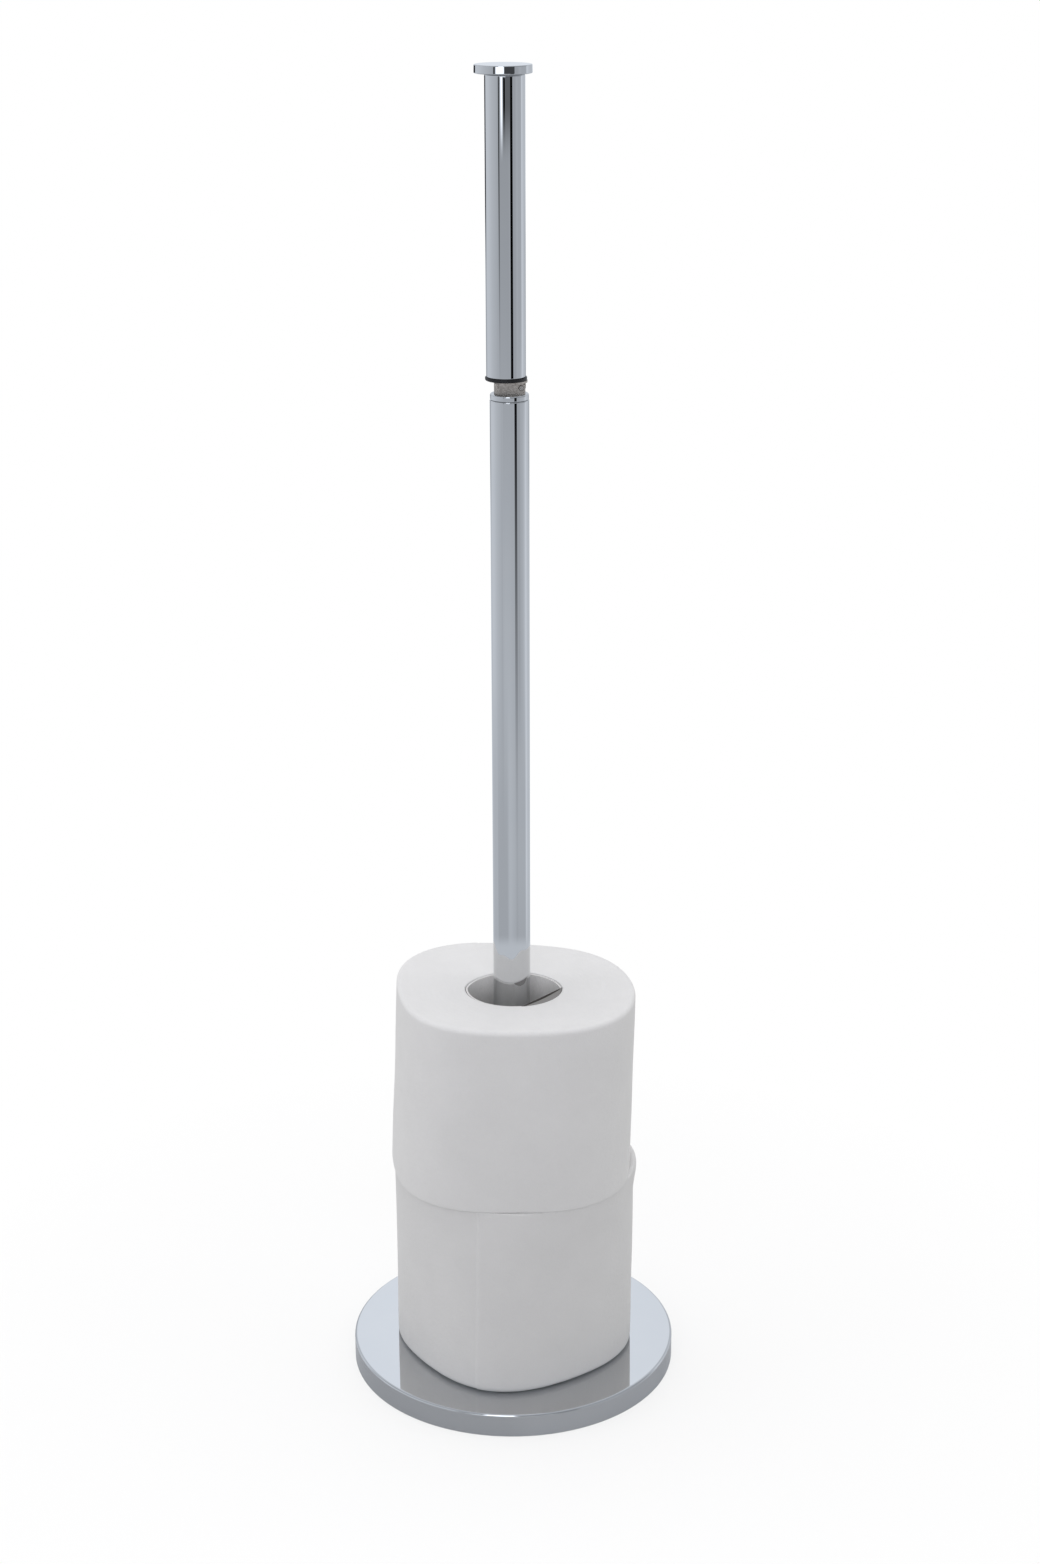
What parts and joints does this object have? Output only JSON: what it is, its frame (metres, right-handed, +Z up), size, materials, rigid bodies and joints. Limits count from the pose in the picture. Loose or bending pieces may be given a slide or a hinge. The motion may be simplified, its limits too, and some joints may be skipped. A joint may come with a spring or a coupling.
{
  "type": "freestanding toilet paper holder",
  "caption": "Chromed floor stand that stores spare toilet rolls on a post over a weighted round base, with a tilting arm on top that carries the roll in use.",
  "frame": {"origin": "on the floor, at the centre of the round base's underside", "axes": "+Z up along the post; +X to the right, the side that the arm tilts to; -Y towards the front"},
  "size_m": [0.162, 0.162, 0.6385],
  "materials": {
    "chrome": "polished",
    "zinc": "matte",
    "iron": "matte",
    "steel": "satin",
    "foam": "matte",
    "black_plastic": "satin",
    "nylon": "satin",
    "paper": "matte",
    "core_board": "matte"
  },
  "bodies": {
    "stand": {"base_cover": "chrome", "base_weight": "iron", "base_pad": "foam", "base_washer": "steel", "base_screw": "steel", "post_tube": "chrome", "foot_plug": "steel", "post_bush": "chrome", "hinge_fork": "zinc", "hinge_pin": "steel", "fork_washer": "steel", "fork_screw": "steel"},
    "arm": {"hinge_tongue": "zinc", "arm_plug": "black_plastic", "arm_tube": "chrome", "arm_cap": "chrome", "cap_insert": "nylon", "tongue_washer": "steel", "tongue_screw": "steel"},
    "roll_lower": {"roll_lower_paper": "paper", "roll_lower_core": "core_board"},
    "roll_upper": {"roll_upper_paper": "paper", "roll_upper_core": "core_board"}
  },
  "joints": [
    {"name": "arm_tilt", "type": "hinge", "parent": "stand", "child": "arm", "pos_m": [0.0054, 0, 0.4978], "axis": [0, 1, 0], "range_deg": [0, 90]},
    {"name": "roll_lower_lift", "type": "slide", "parent": "stand", "child": "roll_lower", "axis": [0, 0, 1], "range_m": [0, 0.63]},
    {"name": "roll_upper_lift", "type": "slide", "parent": "roll_lower", "child": "roll_upper", "axis": [0, 0, 1], "range_m": [0, 0.535]}
  ]
}
